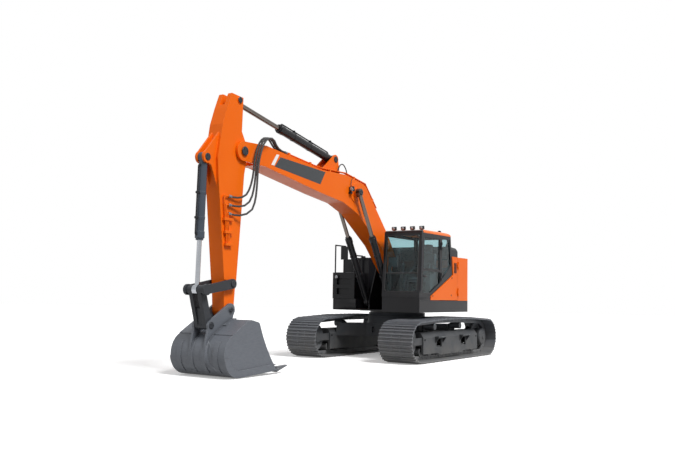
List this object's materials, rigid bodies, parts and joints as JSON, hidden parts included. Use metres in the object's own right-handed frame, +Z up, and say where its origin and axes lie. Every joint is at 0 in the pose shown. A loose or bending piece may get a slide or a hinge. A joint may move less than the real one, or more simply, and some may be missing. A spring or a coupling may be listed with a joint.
{
  "type": "crawler excavator",
  "caption": "Tracked excavator with swinging house, hollow cab, two-piece digging arm, bucket and hydraulic cylinders on jointed linkages.",
  "frame": {"origin": "On the ground under the middle of the parked machine's bounding box.", "axes": "+X forward along boom and tracks, +Y to the operator's left, +Z up."},
  "size_m": [9.1887, 3.19, 4.8829],
  "materials": {
    "orange_paint": "glossy enamel",
    "dark_paint": "satin enamel",
    "black_paint": "satin enamel",
    "track_steel": "painted casting",
    "rod_chrome": "polished",
    "cab_glass": "tinted",
    "seat_fabric": "woven",
    "trim_plastic": "grained",
    "hose_rubber": "wrapped hose",
    "engine_cast": "painted casting"
  },
  "bodies": {
    "undercarriage": {"car_body": "dark_paint", "track_frame_left": "dark_paint", "track_frame_right": "dark_paint", "track_left": "track_steel", "track_right": "track_steel", "front_idlers": "track_steel", "drive_sprockets": "track_steel", "travel_motors": "dark_paint", "track_rollers": "track_steel", "carrier_rollers": "track_steel", "swing_ring": "track_steel"},
    "house": {"main_frame": "dark_paint", "counterweight": "orange_paint", "side_skirts": "black_paint", "cab_shell": "black_paint", "cab_roof": "orange_paint", "cab_glass": "cab_glass", "operator_seat": "seat_fabric", "cab_controls": "trim_plastic", "tool_box": "dark_paint", "tank": "orange_paint", "engine_block": "engine_cast", "rear_deck": "dark_paint", "exhaust_stack": "black_paint", "handrails": "black_paint", "mirror_right": "black_paint", "work_lights": "black_paint"},
    "cab_door": {"cab_door": "black_paint", "cab_door_glass": "cab_glass"},
    "hood": {"engine_hood": "dark_paint"},
    "left_door": {"left_service_door": "orange_paint"},
    "right_door": {"right_service_door": "orange_paint"},
    "boom": {"boom": "orange_paint", "boom_pipes": "orange_paint", "arm_hoses": "hose_rubber"},
    "boom_barrel_left": {"boom_cylinder_left_barrel": "black_paint"},
    "boom_rod_left": {"boom_cylinder_left_rod": "rod_chrome"},
    "boom_barrel_right": {"boom_cylinder_right_barrel": "black_paint"},
    "boom_rod_right": {"boom_cylinder_right_rod": "rod_chrome"},
    "arm": {"arm": "orange_paint", "arm_pipes": "orange_paint"},
    "arm_barrel": {"arm_cylinder_barrel": "black_paint"},
    "arm_rod": {"arm_cylinder_rod": "rod_chrome"},
    "bucket_barrel": {"bucket_cylinder_barrel": "black_paint"},
    "bucket_rod": {"bucket_cylinder_rod": "rod_chrome"},
    "levers": {"bucket_levers": "dark_paint"},
    "link": {"bucket_link": "dark_paint"},
    "bucket": {"bucket": "dark_paint", "bucket_teeth": "track_steel"}
  },
  "joints": [
    {"name": "swing", "type": "hinge", "parent": "undercarriage", "child": "house", "pos_m": [-2.33, 0, 1], "axis": [0, 0, 1], "continuous": true},
    {"name": "boom_lift", "type": "hinge", "parent": "house", "child": "boom", "pos_m": [-1.87, 0, 2.06], "axis": [0, -1, 0], "range_deg": [-62, 37]},
    {"name": "arm_crowd", "type": "hinge", "parent": "boom", "child": "arm", "pos_m": [3.65246, 0, 3.89708], "axis": [0, 1, 0], "range_deg": [-68, 38], "deforming": ["arm_hoses"]},
    {"name": "bucket_curl", "type": "hinge", "parent": "arm", "child": "bucket", "pos_m": [3.86165, 0, 1.11493], "axis": [0, 1, 0], "range_deg": [-75, 82]},
    {"name": "cab_door_hinge", "type": "hinge", "parent": "house", "child": "cab_door", "pos_m": [-1.932, 1.352, 2.1], "axis": [0, 0, 1], "range_deg": [0, 140]},
    {"name": "left_service_door_hinge", "type": "hinge", "parent": "house", "child": "left_door", "pos_m": [-2.8, 1.372, 1.8], "axis": [0, 0, 1], "range_deg": [0, 95]},
    {"name": "right_service_door_hinge", "type": "hinge", "parent": "house", "child": "right_door", "pos_m": [-2.8, -1.372, 1.8], "axis": [0, 0, -1], "range_deg": [0, 95]},
    {"name": "engine_hood_hinge", "type": "hinge", "parent": "house", "child": "hood", "pos_m": [-3.424, 0, 2.344], "axis": [0, -1, 0], "range_deg": [0, 75]},
    {"name": "boom_cylinder_left_tilt", "type": "hinge", "parent": "house", "child": "boom_barrel_left", "pos_m": [-1.48, 0.312, 1.25], "axis": [0, -1, 0], "range_deg": [-54.3, 32.41]},
    {"name": "boom_cylinder_left_slide", "type": "slide", "parent": "boom_barrel_left", "child": "boom_rod_left", "axis": [0.5225, 0, 0.8527], "range_m": [-0.85558, 0.51079]},
    {"name": "boom_cylinder_right_tilt", "type": "hinge", "parent": "house", "child": "boom_barrel_right", "pos_m": [-1.48, -0.312, 1.25], "axis": [0, -1, 0], "range_deg": [-54.3, 32.41]},
    {"name": "boom_cylinder_right_slide", "type": "slide", "parent": "boom_barrel_right", "child": "boom_rod_right", "axis": [0.5225, 0, 0.8527], "range_m": [-0.85558, 0.51079]},
    {"name": "arm_cylinder_tilt", "type": "hinge", "parent": "boom", "child": "arm_barrel", "pos_m": [0.6194, 0, 4.2297], "axis": [0, 1, 0], "range_deg": [-0.554, 0.314]},
    {"name": "arm_cylinder_slide", "type": "slide", "parent": "arm_barrel", "child": "arm_rod", "axis": [0.9838, 0, 0.1792], "range_m": [-0.94497, 0.52829]},
    {"name": "bucket_cylinder_tilt", "type": "hinge", "parent": "arm", "child": "bucket_barrel", "pos_m": [4.461, 0, 3.68009], "axis": [0, 1, 0], "range_deg": [-1.17, 1.27]},
    {"name": "bucket_cylinder_slide", "type": "slide", "parent": "bucket_barrel", "child": "bucket_rod", "axis": [0.0224, 0, -0.9997], "range_m": [-0.56337, 0.6159]},
    {"name": "bucket_lever_turn", "type": "hinge", "parent": "arm", "child": "levers", "pos_m": [3.86027, 0, 1.56008], "axis": [0, 1, 0], "range_deg": [-57.12, 62.45]},
    {"name": "bucket_link_turn", "type": "hinge", "parent": "bucket", "child": "link", "pos_m": [4.33065, 0, 0.85993], "axis": [0, 1, 0], "range_deg": [-56.18, 51.38]}
  ],
  "couplings": [
    {"joint": "boom_cylinder_left_tilt", "follows": "boom_lift", "ratio": 0.8757},
    {"joint": "boom_cylinder_left_slide", "follows": "boom_lift", "m_per_rad": 0.7902},
    {"joint": "boom_cylinder_right_tilt", "follows": "boom_lift", "ratio": 0.8757},
    {"joint": "boom_cylinder_right_slide", "follows": "boom_lift", "m_per_rad": 0.7902},
    {"joint": "arm_cylinder_tilt", "follows": "arm_crowd", "ratio": 0.008},
    {"joint": "arm_cylinder_slide", "follows": "arm_crowd", "m_per_rad": 0.7958},
    {"joint": "bucket_cylinder_tilt", "follows": "bucket_curl", "ratio": 0.0154},
    {"joint": "bucket_cylinder_slide", "follows": "bucket_curl", "m_per_rad": 0.43},
    {"joint": "bucket_lever_turn", "follows": "bucket_curl", "ratio": 0.7615},
    {"joint": "bucket_link_turn", "follows": "bucket_curl", "ratio": -0.685}
  ]
}
